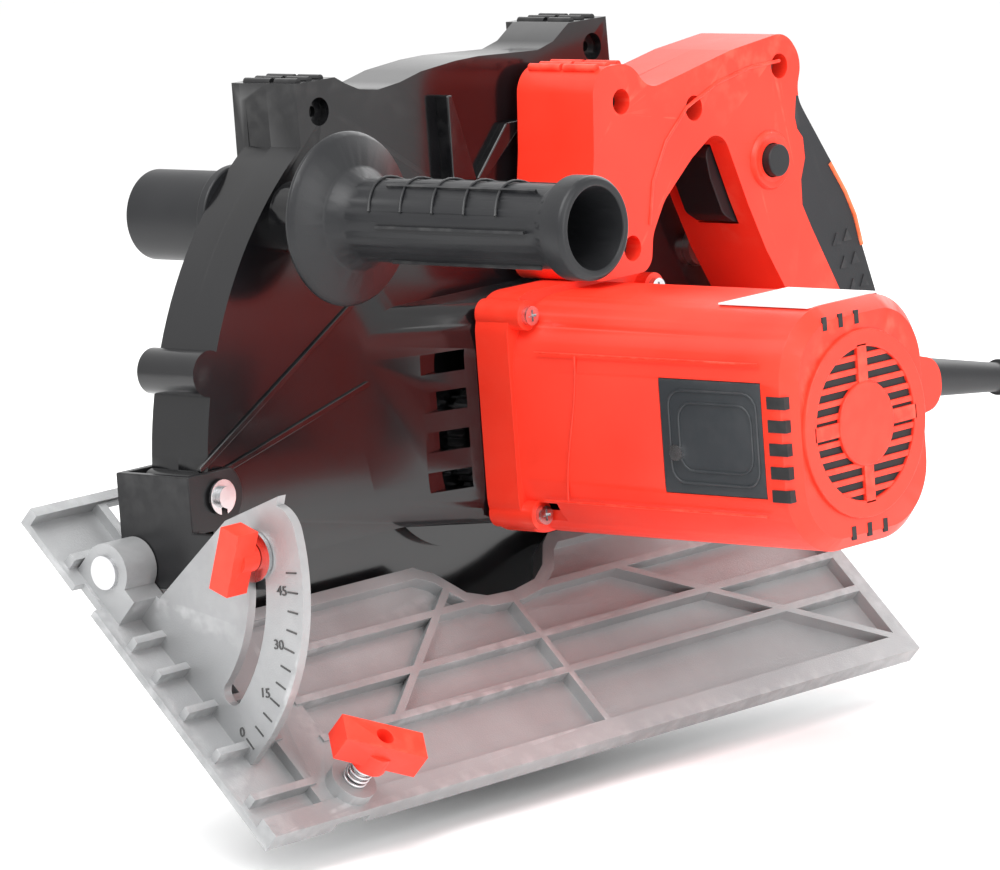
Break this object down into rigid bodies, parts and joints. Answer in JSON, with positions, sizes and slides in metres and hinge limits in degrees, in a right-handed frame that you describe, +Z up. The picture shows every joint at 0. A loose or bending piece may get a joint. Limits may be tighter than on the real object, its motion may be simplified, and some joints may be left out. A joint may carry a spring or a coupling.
{
  "type": "circular saw",
  "caption": "Corded circular saw with cast sole plate tilted on a bevel quadrant, hinged depth setting, sprung blade guard, crosswise motor and side handle.",
  "frame": {"origin": "middle of the bounding box at floor level, with the saw head upright", "axes": "+X is the cutting direction, +Y points from the blade to the motor end, +Z is up in the saw head"},
  "size_m": [0.4668, 0.236, 0.2775],
  "materials": {
    "cast_alu": "sandblasted casting",
    "black_enamel": "gloss black enamel on cast metal",
    "black_steel": "satin black coated sheet steel",
    "steel": "plated steel",
    "blade_steel": "ground saw steel",
    "copper": "copper windings and segments",
    "red_plastic": "glass-filled nylon, satin red",
    "black_plastic": "moulded black plastic",
    "grey_plastic": "moulded dark grey plastic",
    "soft_grip": "soft overmould",
    "carbon": "carbon brush blocks"
  },
  "bodies": {
    "head": {"guard_outer": "black_enamel", "gear_housing": "black_enamel", "guard_screws": "steel", "dust_port": "black_plastic", "guard_spring": "steel", "spindle_bearing": "steel", "motor_bearings": "steel", "stator": "steel", "motor_housing": "red_plastic", "motor_screws": "steel", "brush_cover_front": "grey_plastic", "brush_cover_rear": "grey_plastic", "brush_cover_screws": "steel", "brushes": "carbon", "brush_holders": "black_plastic", "handle_shell_motor": "red_plastic", "handle_shell_blade": "red_plastic", "handle_screws": "steel", "soft_grip": "soft_grip", "trigger_pin": "steel", "lock_spring": "steel", "switch_unit": "black_plastic", "strain_relief": "black_plastic", "side_handle": "black_plastic", "side_handle_stud": "steel", "depth_bolt": "steel", "depth_washer": "steel"},
    "lower_guard": {"lower_guard": "black_steel", "guard_lever": "black_plastic"},
    "spindle": {"blade": "blade_steel", "blade_ring": "steel", "inner_flange": "steel", "outer_flange": "steel", "blade_bolt": "steel", "spindle": "steel", "spindle_gear": "steel"},
    "armature": {"armature_shaft": "steel", "armature_core": "steel", "commutator": "copper", "fan": "black_plastic"},
    "trigger": {"trigger": "black_plastic"},
    "lock_button": {"lock_button": "black_plastic"},
    "depth_lever": {"depth_lever": "black_plastic"},
    "bracket": {"front_bracket": "black_steel", "depth_arm": "black_steel", "depth_pin": "steel", "depth_pin_ring": "steel", "bevel_stud": "steel", "bevel_washer": "steel"},
    "bevel_knob": {"bevel_knob": "red_plastic"},
    "base": {"base_plate": "cast_alu", "bevel_rivets": "steel", "guide_spring": "steel"},
    "guide_screw": {"guide_screw": "steel", "guide_wing": "red_plastic"}
  },
  "joints": [
    {"name": "depth_hinge", "type": "hinge", "parent": "head", "child": "bracket", "pos_m": [0.19625, -0.072, 0.131], "axis": [0, -1, 0], "range_deg": [0, 15.2]},
    {"name": "bevel_hinge", "type": "hinge", "parent": "bracket", "child": "base", "pos_m": [0.23345, -0.072, 0.107], "axis": [1, 0, 0], "range_deg": [0, 35]},
    {"name": "lower_guard_hinge", "type": "hinge", "parent": "head", "child": "lower_guard", "pos_m": [0.05145, -0.072, 0.131], "axis": [0, 1, 0], "range_deg": [0, 110], "stiffness_Nm_per_rad": 0.12, "springref_deg": -68.75},
    {"name": "spindle_spin", "type": "hinge", "parent": "head", "child": "spindle", "pos_m": [0.05145, -0.0685, 0.131], "axis": [0, 1, 0], "continuous": true},
    {"name": "armature_spin", "type": "hinge", "parent": "head", "child": "armature", "pos_m": [0.02537, 0.028, 0.138], "axis": [0, 1, 0], "continuous": true},
    {"name": "trigger_pull", "type": "hinge", "parent": "head", "child": "trigger", "pos_m": [-0.06255, -0.022, 0.226], "axis": [0, 1, 0], "range_deg": [0, 8], "stiffness_Nm_per_rad": 0.6, "springref_deg": -5.73},
    {"name": "lock_button_press", "type": "slide", "parent": "head", "child": "lock_button", "axis": [0, -1, 0], "range_m": [0, 0.004], "stiffness_N_per_m": 400, "springref_m": -0.002},
    {"name": "depth_lever_turn", "type": "hinge", "parent": "head", "child": "depth_lever", "pos_m": [-0.07785, -0.0907, 0.18304], "axis": [0, 1, 0], "range_deg": [0, 45]},
    {"name": "bevel_knob_turn", "type": "hinge", "parent": "bracket", "child": "bevel_knob", "pos_m": [0.21825, -0.00802, 0.1152], "axis": [1, 0, 0], "range_deg": [0, 120]},
    {"name": "guide_screw_turn", "type": "hinge", "parent": "base", "child": "guide_screw", "pos_m": [0.18645, 0.00507, 0.02993], "axis": [0, 0.7071, 0.7071], "range_deg": [0, 180]}
  ],
  "couplings": [
    {"joint": "armature_spin", "follows": "spindle_spin", "ratio": -4}
  ]
}
